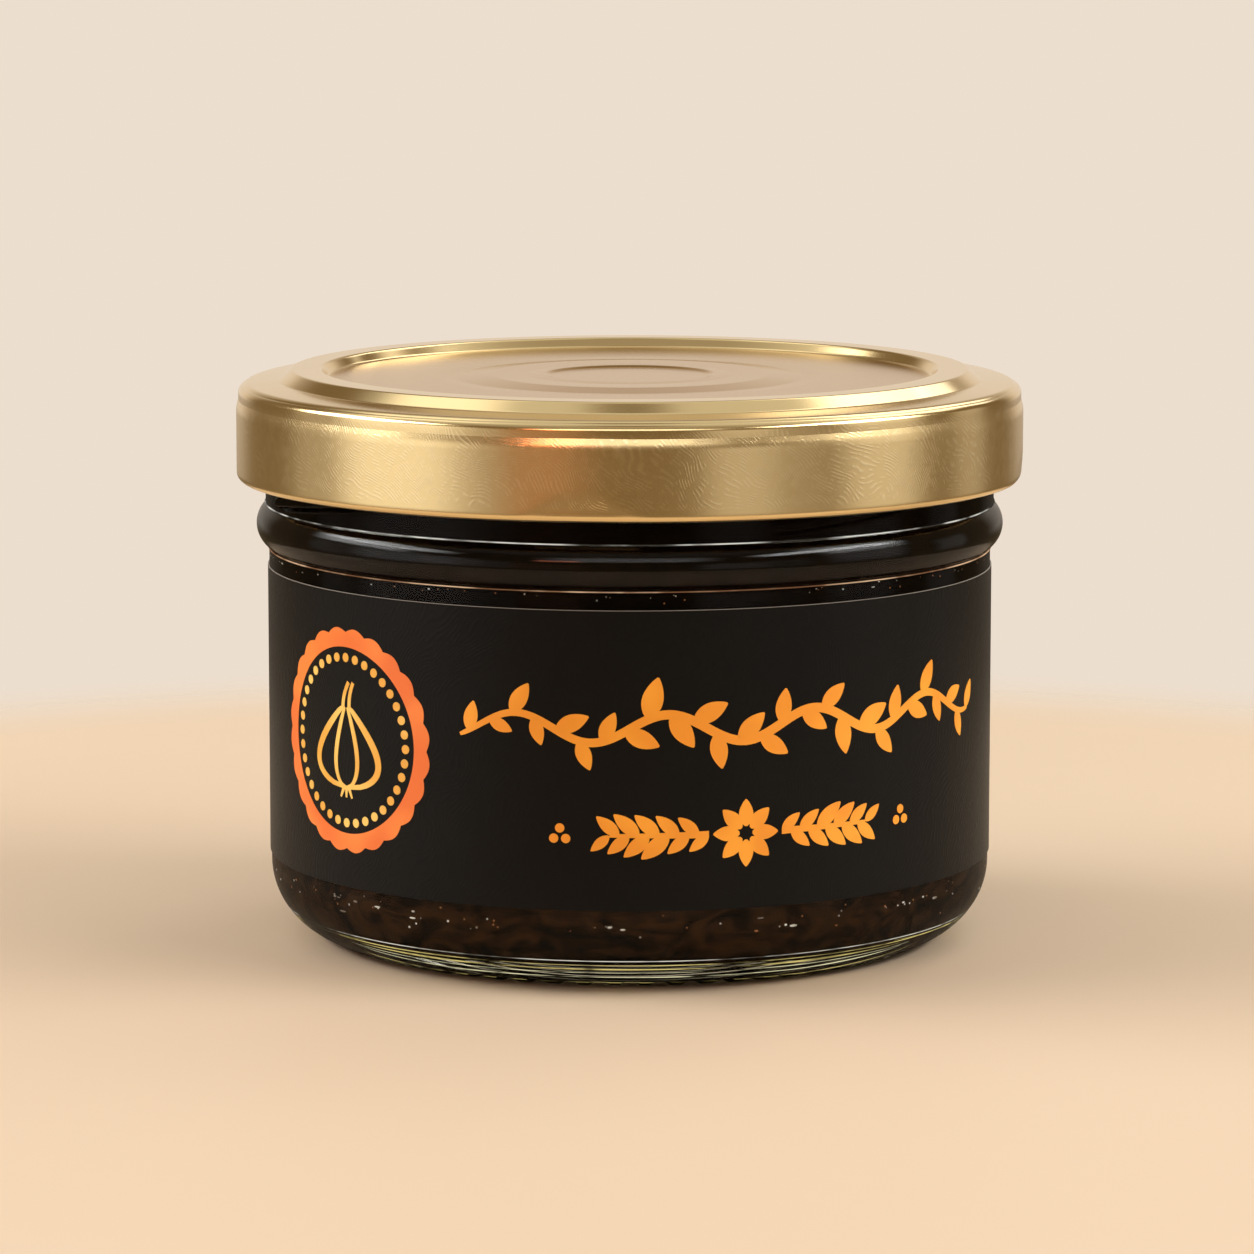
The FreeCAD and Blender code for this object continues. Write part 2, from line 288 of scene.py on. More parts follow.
GOLD_DEEP = (0.77, 0.58, 0.29, 1)
GOLD_PALE = (0.83, 0.635, 0.325, 1)
GOLD_PANEL = (0.56, 0.34, 0.1, 1)
# paler gold painted on the ridges of the skirt's wrinkles: a painted highlight
GOLD_RIDGE_HIGHLIGHT = (0.95, 0.78, 0.48, 1)


def flowing_lines(tree, place, radius, spacing, slant, wander):
    """Fine broken ridges that flow round a wall, as in a fingertip: 0 between them, 1 on top.

    They meet where the wall closes behind, because a whole number of them goes round it.
    """
    across, along, up = tree.parts(place)
    angle = tree.bearing(across, along)
    round_it = round(TURN * radius * math.cos(slant) / spacing)
    climbing = TURN * math.sin(slant) / spacing
    drift = tree.noise(place, 6.5 * MM, detail=2.0, roughness=0.35)
    ridges = tree.sine(angle * round_it + up * climbing + drift * wander) * 0.5 + 0.5
    broken = tree.smooth(tree.noise(place, 0.8 * MM, detail=2.0), 0.4, 0.6)
    return ridges ** 2 * broken


def clear_glass():
    """Clear glass. Its outer face mirrors the room only faintly, and a little more on the bead."""
    material, tree, shader = new_material(
        "clear_glass", Base_Color=GLASS_TINT, Roughness=0.0, IOR=GLASS_INDEX,
        Transmission_Weight=1.0)
    place = tree.place()
    across, along, height = tree.parts(place)
    radius = tree.length(across, along)
    past_heel = tree.larger(radius - (BODY - HEEL_ROUND), 0.0)
    below_heel = tree.larger(HEEL_ROUND - height, 0.0)
    from_heel = tree.length(past_heel, below_heel)
    outer = tree.smooth(from_heel, HEEL_ROUND - 0.9 * MM, HEEL_ROUND - 0.4 * MM)
    on_neck = tree.smooth(height, BEAD_HEIGHT + 1.7 * MM, BEAD_HEIGHT + 2.3 * MM)
    on_bead = tree.smooth(height, BEAD_HEIGHT - 2.0 * MM, BEAD_HEIGHT - 1.0 * MM) * (1 - on_neck)
    waves = tree.bump(tree.noise(place, 9 * MM, detail=1.0), 0.1 * MM, 0.5)
    tree.fill(shader, {"Normal": waves})
    sockets = {"Color": GLASS_THROUGH, "Roughness": 0.0, "IOR": GLASS_INDEX, "Normal": waves}
    through = tree.node("ShaderNodeBsdfRefraction", sockets)
    dulled = outer * (WALL_DULLED - on_bead * BEAD_CLEARER + on_neck * NECK_DULLER)
    tree.finish(tree.mixed(dulled, Value(tree, shader.outputs[0]), through))
    return material


def gold_lacquer():
    """Gold lacquer: satin and finely wrinkled on the skirt, glossy above it, darker on the panel."""
    material, tree, shader = new_material("gold_lacquer", Metallic=1.0)
    place = tree.place()
    across, along, height = tree.parts(place)
    radius = tree.length(across, along)
    on_skirt = 1 - tree.smooth(height, BREAK_BOTTOM - 0.2 * MM, BREAK_TOP + 0.6 * MM)
    above_curl = tree.smooth(height, LID_BOTTOM + 0.9 * MM, LID_BOTTOM + 1.5 * MM)
    on_panel = 1 - tree.smooth(radius, PANEL_EDGE - 1.0 * MM, PANEL_EDGE)

    blotches = tree.noise(place, 7 * MM, detail=3.0)
    grain = tree.noise(place, 0.25 * MM, detail=2.0)
    ridges = flowing_lines(tree, place, SKIRT, 0.32 * MM, math.radians(50), 130.0)
    relief_and_highlight = ridges * on_skirt * above_curl
    gold = tree.blend(on_panel, tree.blend(blotches, GOLD_DEEP, GOLD_PALE), GOLD_PANEL)
    satin = 0.2 + blotches * 0.06
    glossy = 0.12 + grain * 0.04 + on_panel * 0.03

    wrinkled = tree.bump(relief_and_highlight, 0.004 * MM)
    # the ridges are raised by the bump and also painted paler gold: a painted highlight along them
    tree.fill(shader, {
        "Base Color": tree.blend(relief_and_highlight * 0.5, gold, GOLD_RIDGE_HIGHLIGHT),
        "Roughness": satin * on_skirt + glossy * (1 - on_skirt),
        "Normal": tree.bump(grain, 0.0015 * MM, 1.0, wrinkled),
    })
    return material


def label_paper():
    """Charcoal paper with fine flowing ridges, and a pale cut edge at its top: partly the paper's
    paler core, partly a painted highlight where the edge catches the light.
    """
    material, tree, shader = new_material("label_paper", Specular_IOR_Level=0.12)
    place = tree.place()
    height = tree.parts(place)[2]
    # the top edge is painted pale: partly the paper's own cut core, partly a painted highlight
    cut_edge_highlight = tree.smooth(height, LABEL_TOP - 0.05 * MM, LABEL_TOP - 0.02 * MM)
    blotches = tree.noise(place, 6 * MM, detail=4.0)
    ridges = flowing_lines(tree, place, LABEL_OUTER, 0.5 * MM, math.radians(-35), 110.0)
    fibres = tree.noise(place, 0.3 * MM, detail=3.0)
    ground = tree.blend(blotches, colour(9, 9, 8), colour(17, 15, 13))
    tree.fill(shader, {
        "Base Color": tree.blend(cut_edge_highlight, ground, colour(150, 142, 132)),
        "Roughness": 0.38 + fibres * 0.12,
        "Normal": tree.bump(ridges * 0.75 + fibres * 0.25, 0.016 * MM),
    })
    return material


def black_garlic_jam():
    """Nearly black, with brown swirls that fade out from the label's foot up to its top, so that the
    jam is darker higher up.
    """
    material, tree, shader = new_material(
        "black_garlic_jam", Specular_IOR_Level=0.0, Roughness=0.5)
    place = tree.place()
    height = tree.parts(place)[2]
    sockets = {0: place, 1: (1.0, 1.0, 2.2)}
    stretched = tree.node("ShaderNodeVectorMath", sockets, {"operation": "MULTIPLY"})
    swirls = tree.noise(stretched, 5 * MM, detail=5.0, roughness=0.6, distortion=1.6)
    pulp = tree.noise(place, 0.9 * MM, detail=3.0)
    depth = tree.smooth(swirls * 0.8 + pulp * 0.2, 0.36, 0.66)
    # brown below the label, fading to near black above its top
    browner_below = 1 - tree.smooth(height, LABEL_BOTTOM, LABEL_TOP) * 0.9
    brown = tree.blend(depth * browner_below, colour(10, 6, 4), colour(60, 38, 21))
    tree.fill(shader, {"Base Color": brown})
    return material


def bubble_glint():
    """A bubble that lies against the glass, with a painted glint: its pale colour glows, though it is
    no lamp.
    """
    # painted glint: the pale colour is also given off as light
    material, tree, shader = new_material(
        "bubble_glint", Roughness=0.1, Specular_IOR_Level=1.0, Emission_Strength=0.3)
    tint = tree.smooth(tree.noise(tree.place(), 3 * MM), 0.4, 0.6)
    pale = tree.blend(tint, colour(120, 104, 92), colour(240, 236, 230))
    tree.fill(shader, {"Base Color": pale, "Emission Color": pale})
    return material


def garlic_speck():
    # the speck's amber is its own colour; it also glows a little, though a speck is no lamp: painted
    # light
    material, tree, shader = new_material("garlic_speck", Roughness=0.35, Emission_Strength=0.12)
    tint = tree.noise(tree.place(), 2 * MM)
    amber = tree.blend(tint, colour(150, 78, 26), colour(214, 130, 60))
    tree.fill(shader, {"Base Color": amber, "Emission Color": amber})
    return material


def ink(name, darker, lighter):
    """Printed ink whose colour drifts a little from place to place."""
    material, tree, shader = new_material(name, Roughness=0.42)
    drift = tree.noise(tree.place(), 6 * MM, detail=1.0)
    shade = tree.smooth(drift, 0.35, 0.65)
    tree.fill(shader, {"Base Color": tree.blend(shade, darker, lighter)})
    return material


# ---- shapes ----

def round_point(radius, angle, up):
    """A place at a distance from the axis, an angle round the jar and a height."""
    return Vector((radius * math.sin(angle), -radius * math.cos(angle), up))


def arc(middle, radius, start, end, steps):
    """Points on an arc about middle, both ends included. Angles are in radians."""
    angles = [start + (end - start) * k / steps for k in range(steps + 1)]
    return [(middle[0] + radius * math.cos(a), middle[1] + radius * math.sin(a)) for a in angles]


def softened(corners, beside=0.12 * MM, arc_step=math.radians(8)):
    """An outline through (radius, height, round) corners, with an arc at each round.

    A point just beside each arc keeps the shading of the flats next to it even.
    """
    points = []
    for i, (x, z, bend) in enumerate(corners):
        here = Vector((x, z))
        if not bend or i in (0, len(corners) - 1):
            points.append((x, z))
            continue
        before = Vector(corners[i - 1][:2]) - here
        after = Vector(corners[i + 1][:2]) - here
        turn = math.pi - before.angle(after)
        cut = bend * math.tan(turn / 2)
        middle = here + (before.normalized() + after.normalized()).normalized() * (
            bend / math.cos(turn / 2))
        start = here + before.normalized() * cut
        end = here + after.normalized() * cut
        first = math.atan2(start.y - middle.y, start.x - middle.x)
        last = math.atan2(end.y - middle.y, end.x - middle.x)
        sweep = (last - first + math.pi) % TURN - math.pi
        steps = max(3, math.ceil(abs(sweep) / arc_step))
        if before.length > cut + 2 * beside:
            points.append(tuple(start + before.normalized() * beside))
        points += arc(middle, bend, first, first + sweep, steps)
        if after.length > cut + 2 * beside:
            points.append(tuple(end + after.normalized() * beside))
    return points


def add_rings(builder, rings, closed=False):
    """Add the faces between rings of points, each ring joined to the next.

    A ring of one point is a pole. Closed, the last ring is joined to the first.
    """
    vertices, faces = builder
    numbers = []
    for ring in rings:
        numbers.append(list(range(len(vertices), len(vertices) + len(ring))))
        vertices += ring
    pairs = list(zip(numbers, numbers[1:]))
    if closed:
        pairs.append((numbers[-1], numbers[0]))
    for lower, upper in pairs:
        sides = max(len(lower), len(upper))
        for k in range(sides):
            after = (k + 1) % sides
            corners = [lower[k % len(lower)], lower[after % len(lower)],
                       upper[after % len(upper)], upper[k % len(upper)]]
            faces.append(list(dict.fromkeys(corners)))
    return numbers


def add_shell(builder, rings, closed=False):
    """Add a closed shell: rings that join up, or rings with a face over either end."""
    numbers = add_rings(builder, rings, closed)
    if not closed:
        builder[1].extend([numbers[0], numbers[-1]])


def built(name, builder):
    mesh = bpy.data.meshes.new(name)
    mesh.from_pydata(builder[0], [], builder[1])
    face_outwards(mesh)
    return mesh


def turned_mesh(name, outline, sides, start=0.0, sweep=None):
    """Turn an outline of (radius, height) points about the axis into a closed shell.

    A full turn runs from the axis to the axis. A part turn takes a closed outline, and
    its two ends are capped.
    """
    builder = ([], [])
    if sweep is None:
        turns = [TURN * k / sides for k in range(sides)]
        add_rings(builder, [[round_point(radius, turn, height) for turn in turns]
                            if radius > TOUCH else [(0, 0, height)] for radius, height in outline])
    else:
        turns = [start + sweep * k / sides for k in range(sides + 1)]
        add_shell(builder, [[round_point(radius, turn, height) for radius, height in outline]
                            for turn in turns])
    return built(name, builder)


def face_outwards(mesh):
    """Merge doubles, then turn every face outwards."""
    work = bmesh.new()
    work.from_mesh(mesh)
    bmesh.ops.remove_doubles(work, verts=work.verts, dist=TOUCH)
    bmesh.ops.recalc_face_normals(work, faces=work.faces)
    work.to_mesh(mesh)
    work.free()


def new_object(name, data):
    made = bpy.data.objects.new(name, data)
    bpy.context.scene.collection.objects.link(made)
    return made


def dressed(name, mesh, material=None, replaced=None, sharp=50):
    """A finished piece: smooth but for its sharp edges, riding on the jar."""
    if material:
        mesh.materials.clear()
        mesh.materials.append(material)
    mesh.shade_smooth()
    mesh.set_sharp_from_angle(angle=math.radians(sharp))
    piece = new_object(name, mesh)
    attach(piece, "root")
    if replaced:
        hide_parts(replaced)
    return piece


# ---- geometry trees ----

def geometry_tree(name, counts, amounts):
    """A new geometry tree with named inputs. Gives the tree and its inputs by name."""
    group = bpy.data.node_groups.new(name, "GeometryNodeTree")
    group.interface.new_socket("Geometry", in_out="OUTPUT", socket_type="NodeSocketGeometry")
    kinds = {"geometry": "Geometry", **dict.fromkeys(counts, "Int"),
             **dict.fromkeys(amounts, "Float"), "material": "Material"}
    for key, kind in kinds.items():
        group.interface.new_socket(key, in_out="INPUT", socket_type="NodeSocket" + kind)
    tree = Tree(group)
    return tree, SimpleNamespace(**dict(zip(kinds, tree.node("NodeGroupInput").each())))


def end_tree(tree, geometry, given):
    """Realize what the tree made, give it its material and lead it out."""
    real = tree.node("GeometryNodeRealizeInstances", {"Geometry": geometry})
    sockets = {"Geometry": real, "Material": given.material}
    finished = tree.node("GeometryNodeSetMaterial", sockets)
    tree.node("NodeGroupOutput", {"Geometry": finished})


def grown(name, mesh, tree, **inputs):
    """The plain mesh that a geometry tree makes of a mesh, with its inputs set."""
    host = new_object(name, mesh)
    modifier = host.modifiers.new(name, "NODES")
    modifier.node_group = tree.node_tree
    for item in tree.node_tree.interface.items_tree:
        if item.in_out == "INPUT" and item.name in inputs:
            modifier[item.identifier] = inputs[item.name]
    evaluated = host.evaluated_get(bpy.context.evaluated_depsgraph_get())
    result = bpy.data.meshes.new_from_object(evaluated)
    host.modifiers.remove(modifier)
    bpy.data.objects.remove(host)
    return result


def round_the_axis(tree):
    """Where each point is: its place, its distance from the axis, its angle and its height."""
    place = tree.node("GeometryNodeInputPosition")
    across, along, up = tree.parts(place)
    radius = tree.length(across, along)
    angle = tree.bearing(across, along)
    return place, radius, angle, up


def moved(tree, geometry, place, radius, push, lift):
    """Move every point outwards from the axis by push, and up by lift."""
    across, along, _ = tree.parts(place)
    offset = tree.joined(across / radius * push, along / radius * push, lift)
    return tree.node("GeometryNodeSetPosition", {"Geometry": geometry, "Offset": offset})


def row_of_points(tree, count):
    """So many points, all at the origin."""
    return tree.node("GeometryNodeMeshLine", {"Count": count, "Offset": (0, 0, 0)})


def points_at(tree, count, place):
    """So many points, each at its own place."""
    sockets = {"Geometry": row_of_points(tree, count), "Position": place}
    return tree.node("GeometryNodeSetPosition", sockets)


def copies(tree, shape, points, turn, scale=(1, 1, 1)):
    """A copy of a shape at each point, with its own turn and scale."""
    sockets = {"Points": points, "Instance": shape, "Rotation": turn, "Scale": scale}
    return tree.node("GeometryNodeInstanceOnPoints", sockets)


def random_between(tree, low, high, seed):
    """A chance number for each point."""
    sockets = {2: low, 3: high, "Seed": seed}
    return tree.node("FunctionNodeRandomValue", sockets, output=1)


# ---- the glass ----

def bead_outline():
    """The bead from its foot on the body to its foot on the neck, with a hollow at each foot."""
    middle = (BEAD - BEAD_ROUND, BEAD_HEIGHT)
    points = []
    for wall, side in ((BODY, -1), (NECK, 1)):
        across = wall + BEAD_FOOT - middle[0]
        rise = math.sqrt((BEAD_ROUND + BEAD_FOOT) ** 2 - across ** 2)
        foot = (wall + BEAD_FOOT, BEAD_HEIGHT + side * rise)
        touch = math.atan2(-side * rise, -across)
        hollow = arc(foot, BEAD_FOOT, -side * math.pi, touch, 6)
        lean = math.atan2(rise, across)
        points.append((hollow, lean))
    (low_foot, low_lean), (high_foot, high_lean) = points
    crown = arc(middle, BEAD_ROUND, -low_lean, high_lean, 16)
    return low_foot[:-1] + crown + high_foot[::-1][1:]


def glass_outline():
    """The jar's section, from the middle of its underside to the middle of its inside floor."""
    bead = bead_outline()
    neck_low = bead[-1][1] + 0.3 * MM
    neck_high = THREAD_LOW + THREAD_RISE + 1.4 * MM
    rows = 52
    rings = [(radius, PUSH_UP + MOULD_RING * math.sin(TURN * radius / MOULD_PITCH), 0)
             for radius in [MOULD_PITCH * k / 8 for k in range(24, 8 * MOULD_RINGS + 1)]]
    lower = softened([
        (0, PUSH_UP, 0),
        *rings,
        (PUSH_UP_EDGE, PUSH_UP, 0.4 * MM),
        (BEARING_INNER, 0, 0.5 * MM),
        (BODY, 0, HEEL_ROUND),
        (BODY, LABEL_BOTTOM, 0),
    ], arc_step=math.radians(4))
    neck = [(NECK, neck_low + (neck_high - neck_low) * k / rows) for k in range(rows + 1)]
    upper = softened([
        (NECK, neck_high + 0.5 * MM, 0),
        (NECK, RIM, RIM_ROUND),
        (BORE, RIM, RIM_ROUND),
        (BORE, INSIDE_FLOOR, FLOOR_ROUND),
        (0, INSIDE_FLOOR, 0),
    ])
    beside_bead = [(BODY, bead[0][1] - 0.3 * MM)]
    return lower + beside_bead + bead + neck + upper


def knurl_and_thread_tree():
    """Raises the threads on the neck and cuts the knurls in the ring that the jar stands on."""
    tree, given = geometry_tree(
        "knurls_and_threads", ("knurls", "threads"),
        ("knurl_depth", "ring_inner", "ring_outer", "start", "span", "low", "rise", "reach", "neck"))
    place, radius, angle, up = round_the_axis(tree)

    wave = tree.larger(tree.cosine(angle * given.knurls), 0.0)
    inside = tree.smooth(radius, given.ring_inner, given.ring_inner + 0.4 * MM)
    outside = 1 - tree.smooth(radius, given.ring_outer - 0.5 * MM, given.ring_outer)
    low = up < 1.5 * MM
    lift = tree.maths("SQRT", wave) * given.knurl_depth * inside * outside * low

    pitch = TURN / given.threads
    along = tree.maths("FRACT", (angle - given.start) / pitch + 4.0) * pitch
    before = pitch - along
    past = tree.larger(along - given.span, 0.0)
    at_low_end = before < past
    climb = tree.smaller(along / given.span, 1.0) * (1 - at_low_end)
    gap = tree.smaller(past, before) * given.neck
    off = up - given.low - climb * given.rise
    distance = tree.length(gap, off)
    ridge = 1 - tree.smooth(distance, 0.28 * MM, 0.98 * MM)
    on_neck = radius > given.neck - 0.1 * MM
    above_bead = up > given.low - 1.3 * MM
    push = ridge * given.reach * on_neck * above_bead

    end_tree(tree, moved(tree, given.geometry, place, radius, push, lift), given)
    return tree


def glass_jar(material):
    mesh = turned_mesh("glass_jar_shell", glass_outline(), GLASS_SIDES)
    mesh = grown(
        "glass_jar_shell", mesh, knurl_and_thread_tree(), material=material,
        knurls=KNURLS, knurl_depth=0.3 * MM, ring_inner=BEARING_INNER + 0.4 * MM,
        ring_outer=BODY - HEEL_ROUND + 3.2 * MM, threads=LUGS, start=THREAD_START,
        span=THREAD_SPAN, low=THREAD_LOW, rise=THREAD_RISE, reach=THREAD_REACH, neck=NECK)
    dressed("jar_glass", mesh, replaced="glass_jar")


# ---- the lid ----

def lid_outline():
    """The lid's section, over the top from the middle, round the curl and back inside."""
    curl_middle = (SKIRT - CURL, LID_BOTTOM + CURL)
    top = softened([
        (0, BUTTON, 0),
        (BUTTON_FLAT, BUTTON, 1.6 * MM),
        (BUTTON_EDGE, PLATEAU, 1.2 * MM),
        (BUTTON_EDGE + 1.6 * MM, PLATEAU - 0.05 * MM, 2 * MM),
        (PLATEAU_EDGE, PLATEAU, 4 * MM),
        (PLATEAU_FOOT, PANEL, 4 * MM),
        (PLATEAU_FOOT + 1.8 * MM, PANEL + 0.04 * MM, 3 * MM),
        (PANEL_EDGE, PANEL, 0.35 * MM),
        (RING_INNER, CREST, 0.4 * MM),
        (RING_OUTER, CREST, 0.45 * MM),
        (RING_FOOT, SHELF, 0.5 * MM),
        (SHOULDER, SHOULDER_TOP, 0.9 * MM),
        (SHOULDER, BREAK_TOP, 0.2 * MM),
        (SKIRT - 0.25 * MM, BREAK_BOTTOM, 0.8 * MM),
        (SKIRT, BREAK_BOTTOM - 1.0 * MM, 2.5 * MM),
        (SKIRT, curl_middle[1], 0),
    ], beside=0.08 * MM)
    inner_skirt = SKIRT - SHEET
    curl_end = math.acos((CURL - SHEET) / CURL) - TURN
    roll = arc(curl_middle, CURL, 0, curl_end, 28)
    inside = softened([
        (inner_skirt, roll[-1][1] + 0.1 * MM, 0),
        (inner_skirt, SHOULDER_TOP - SHEET, 0.7 * MM),
        (RING_FOOT - SHEET / 2, SHELF - SHEET, 0.4 * MM),
        (RING_OUTER - SHEET / 2, CREST - SHEET, 0.3 * MM),
        (RING_INNER + SHEET / 2, CREST - SHEET, 0.3 * MM),
        (PANEL_EDGE + SHEET / 2, PANEL - SHEET, 0.3 * MM),
        (PLATEAU_FOOT, PANEL - SHEET, 9 * MM),
        (PLATEAU_EDGE, PLATEAU - SHEET, 9 * MM),
        (BUTTON_EDGE, PLATEAU - SHEET, 1.2 * MM),
        (BUTTON_FLAT, BUTTON - SHEET, 1.2 * MM),
        (0, BUTTON - SHEET, 0),
    ])
    height = curl_middle[1]
    rows = 30
    skirt_top = BREAK_BOTTOM - 1.5 * MM
    skirt = [(SKIRT, skirt_top + (height - skirt_top) * k / rows) for k in range(1, rows)]
    return top[:-1] + skirt + roll + inside


def lug_press_tree():
    """Presses the skirt's lower edge in over each lug."""
    tree, given = geometry_tree(
        "pressed_lugs", ("lugs",), ("turn", "half_span", "depth", "bottom", "height", "inside"))
    place, radius, angle, up = round_the_axis(tree)
    pitch = TURN / given.lugs
    turns = (angle - given.turn) / pitch
    off_middle = tree.maths("ABSOLUTE", tree.maths("FRACT", turns + 4.5) - 0.5) * pitch
    share = 1 - tree.smooth(off_middle, given.half_span * 0.15, given.half_span * 1.35)
    top = given.bottom + given.height * share
    low = 1 - tree.smooth(up, given.bottom + 0.2 * MM, top)
    push = given.depth * share * low * (radius > given.inside) * -1.0
    end_tree(tree, moved(tree, given.geometry, place, radius, push, 0.0), given)
    return tree


def lug_tree():
    """Repeats one lug round the axis."""
    tree, given = geometry_tree("ring_of_lugs", ("lugs",), ("turn",))
    angle = given.turn + tree.node("GeometryNodeInputIndex") * TURN / given.lugs
    line = row_of_points(tree, given.lugs)
    end_tree(tree, copies(tree, given.geometry, line, tree.joined(0.0, 0.0, angle)), given)
    return tree


def lid(material):
    mesh = turned_mesh("lid_sheet", lid_outline(), LID_SIDES)
    mesh = grown(
        "lid_sheet", mesh, lug_press_tree(), material=material, lugs=LUGS, turn=LUG_TURN,
        half_span=LUG_SPAN / 2, depth=0.16 * MM, bottom=LID_BOTTOM, height=3.2 * MM,
        inside=SKIRT - 2 * CURL - 0.1 * MM)
    dressed("lid_sheet", mesh, replaced="lid")

    low = LID_BOTTOM + CURL
    high = LID_BOTTOM + 1.1 * MM
    corners = [(LUG_INNER, low), (SKIRT - CURL, low), (SKIRT - CURL, high), (LUG_INNER, high)]
    lug = turned_mesh("lug", corners, 12, -LUG_SPAN / 2, LUG_SPAN)
    mesh = grown("lug", lug, lug_tree(), material=material, lugs=LUGS, turn=LUG_TURN)
    dressed("lid_lugs", mesh)


# ---- the label ----

def label(material):
    edge = 0.03 * MM
    corners = [
        (LABEL_INNER, LABEL_BOTTOM),
        (LABEL_OUTER - edge, LABEL_BOTTOM),
        (LABEL_OUTER, LABEL_BOTTOM + edge),
        (LABEL_OUTER, LABEL_TOP - edge),
        (LABEL_OUTER - edge, LABEL_TOP),
        (LABEL_INNER, LABEL_TOP),
    ]
    seam = 1.6 * MM / LABEL_OUTER
    mesh = turned_mesh("label_band", corners, 360, seam / 2 - math.pi, TURN - seam)
    dressed("label_band", mesh, material, "label", sharp=30)


# ---- the print ----
# Flat shapes are drawn in (across, up) on the unrolled label, across from the front and up
# from the label's middle, and are then wrapped round it.

INK = 0.03 * MM                 # how far the ink stands proud of the paper
INK_ROOT = 0.03 * MM            # how deep it is rooted in it


def band(builder, left, right, closed=False):
    """Add one flat inked shape between two rails of (across, up) points."""
    rings = []
    for (left_x, left_z), (right_x, right_z) in zip(left, right):
        middle = ((left_x + right_x) / 2, -INK, (left_z + right_z) / 2)
        rings.append([(left_x, INK_ROOT, left_z), (left_x, -INK, left_z), middle,
                      (right_x, -INK, right_z), (right_x, INK_ROOT, right_z)])
    add_shell(builder, rings, closed)


def stroke(builder, steps, place, width):
    """Add a pen stroke. Its (across, up) place and its width follow from the share of its way."""
    path = [Vector(place(k / steps)) for k in range(steps + 1)]
    left = []
    right = []
    for k, point in enumerate(path):
        heading = (path[min(k + 1, steps)] - path[max(k - 1, 0)]).normalized()
        side = Vector((-heading.y, heading.x)) * width(k / steps) / 2
        left.append(point + side)
        right.append(point - side)
    band(builder, left, right)


def wrapped(mesh):
    """Wrap flat shapes round the label, with the front at its middle."""
    for vertex in mesh.vertices:
        across, depth, up = vertex.co
        vertex.co = round_point(LABEL_OUTER - depth, across / LABEL_OUTER, LABEL_MIDDLE + up)
    return mesh


def printed(name, mesh, ink_material):
    """Wrap a flat shape round the label and ink it."""
    dressed(name, wrapped(mesh), ink_material, sharp=30)


def pod(name, steps, edge):
    """A flat shape between an edge and its mirror image. The edge's places follow from shares."""
    places = [edge(k / steps) for k in range(steps + 1)]
    builder = ([], [])
    band(builder, places, [(across, -up) for across, up in places])
    return built(name, builder)


def leaf(length, width):
    """A leaf that starts at the middle of the flat and points across, with a pointed tip."""
    def edge(way):
        share = 0.02 + 0.96 * way
        return length * share, width / 2 * math.sin(math.pi * share ** 0.85) ** 0.8
    return pod("leaf", 10, edge)


def dot(radius, sides=16):
    """A round dot at the middle of the flat."""
    def edge(way):
        angle = math.pi * (0.04 + 0.92 * way)
        return -radius * math.cos(angle), radius * math.sin(angle)
    return pod("dot", sides // 2, edge)


def row_tree():
    """Sets copies of a flat shape along a wavy stem, leaning to either side by turns."""
    tree, given = geometry_tree(
        "row_along_a_stem", ("count", "seed"),
        ("start", "end", "height", "wave", "period", "lean", "spread"))
    number = tree.node("GeometryNodeInputIndex")
    share = number / (given.count - 1)
    across = given.start + (given.end - given.start) * share
    wave_turn = TURN / given.period
    up = given.height + given.wave * tree.sine(across * wave_turn)
    forward = tree.maths("SIGN", given.end - given.start)
    rise = given.wave * wave_turn * tree.cosine(across * wave_turn) * forward
    heading = tree.maths("ARCTAN2", rise, forward)
    side = 1 - 2 * tree.maths("MODULO", number, 2.0)
    turn = tree.joined(0.0, (heading + given.lean * side) * -1.0, 0.0)
    chance = random_between(tree, -1.0, 1.0, given.seed)
    taper = 0.72 + 0.28 * tree.sine(share * math.pi)
    scale = taper * (1 + given.spread * chance)
    stem = points_at(tree, given.count, tree.joined(across, 0.0, up))
    size = tree.joined(scale, 1.0, scale)
    end_tree(tree, copies(tree, given.geometry, stem, turn, size), given)
    return tree


def ring_tree():
    """Sets copies of a flat shape in a ring, each pointing outwards."""
    tree, given = geometry_tree(
        "ring_of_copies", ("count",), ("radius", "across", "height", "turn"))
    angle = given.turn + tree.node("GeometryNodeInputIndex") * TURN / given.count
    across = given.across + given.radius * tree.cosine(angle)
    up = given.height + given.radius * tree.sine(angle)
    ring = points_at(tree, given.count, tree.joined(across, 0.0, up))
    turn = tree.joined(0.0, angle * -1.0, 0.0)
    end_tree(tree, copies(tree, given.geometry, ring, turn), given)
    return tree


def scatter_tree():
    """Scatters small flattened copies of a ball over a band of the wall, more at its mid height."""
    tree, given = geometry_tree(
        "scattered_on_a_wall", ("count", "seed"),
        ("radius", "round", "floor", "low", "high", "smallest", "largest", "longest"))

    def chance(number, low, high):
        return random_between(tree, low, high, given.seed + number)

    angle = chance(0, 0.0, TURN)
    middle = (given.low + given.high) / 2
    reach_up = (given.high - given.low) / 2
    up = middle + reach_up * chance(1, -1.0, 1.0) * chance(2, 0.2, 1.0)
    drop = tree.larger(given.floor + given.round - up, 0.0)
    inset = tree.maths("SQRT", given.round * given.round - drop * drop)
    radius = given.radius - given.round + inset
    there = tree.joined(radius * tree.sine(angle), radius * tree.cosine(angle) * -1.0, up)
    scale = chance(3, given.smallest, given.largest)
    longer = 1.0 + given.longest * chance(4, 0.0, 1.0) ** 5.0
    spots = points_at(tree, given.count, there)
    size = tree.joined(scale * longer, scale * 0.5, scale)
    turn = tree.joined(0.0, 0.0, angle)
    end_tree(tree, copies(tree, given.geometry, spots, turn, size), given)
    return tree


BADGE_ACROSS = -28.8 * MM
BADGE_RADIUS = 10.2 * MM


